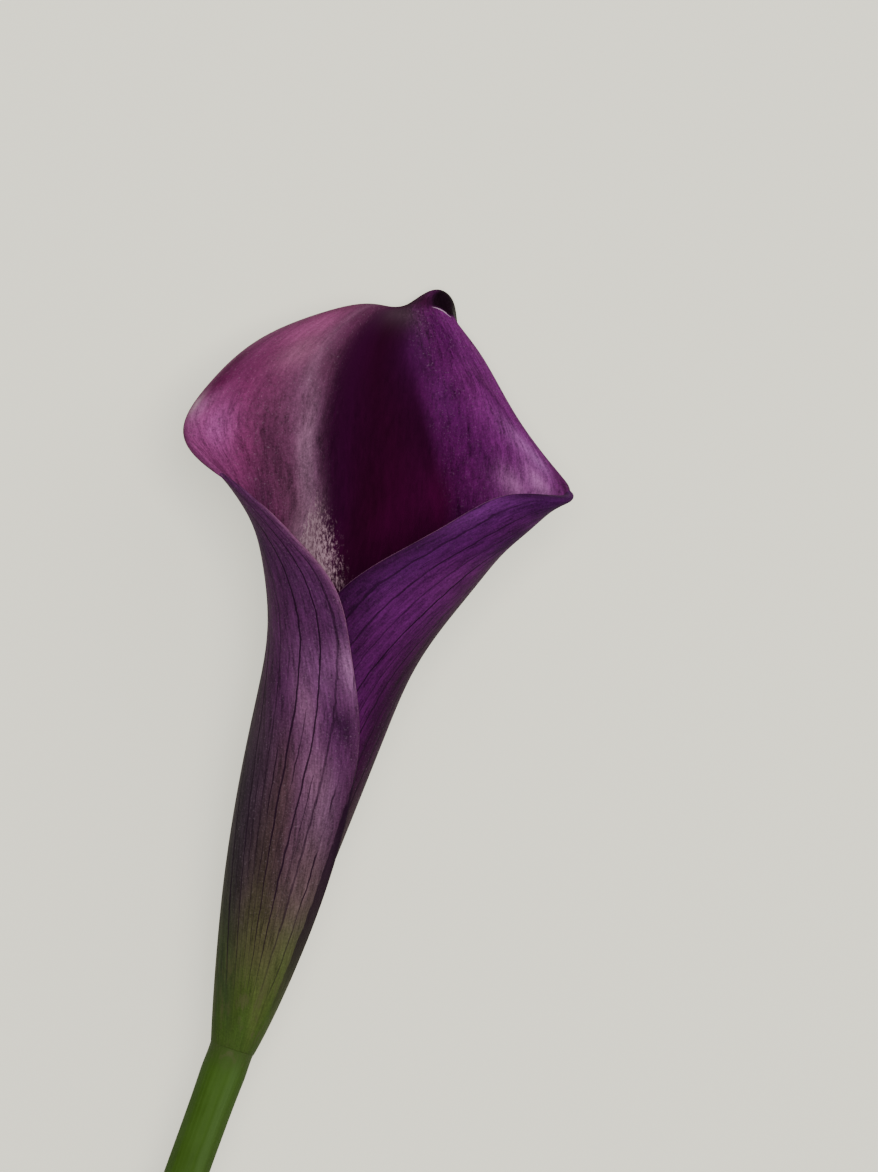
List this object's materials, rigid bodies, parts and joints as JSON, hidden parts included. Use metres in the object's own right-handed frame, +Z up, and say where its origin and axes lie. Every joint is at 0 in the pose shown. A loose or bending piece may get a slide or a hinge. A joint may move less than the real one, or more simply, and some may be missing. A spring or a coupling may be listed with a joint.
{
  "type": "calla lily flower",
  "caption": "Single cut calla lily flower lying down: a dark purple funnel-shaped spathe round a spadix, on a green stem.",
  "frame": {"origin": "on the surface that the flower lies on, under the middle of its box", "axes": "+Y along the stem from the cut end to the tip of the flower, +Z up, open face of the flower up"},
  "size_m": [0.063, 0.3154, 0.0443],
  "materials": {
    "stem": "smooth green stalk with faint long ribs, satin",
    "spathe": "velvety dark purple petal with fine darker veins, greenish brown at its foot",
    "spadix": "matte pollen-dusted florets"
  },
  "bodies": {
    "root": {"stem": "stem", "spathe": "spathe", "spadix": "spadix"}
  },
  "joints": []
}
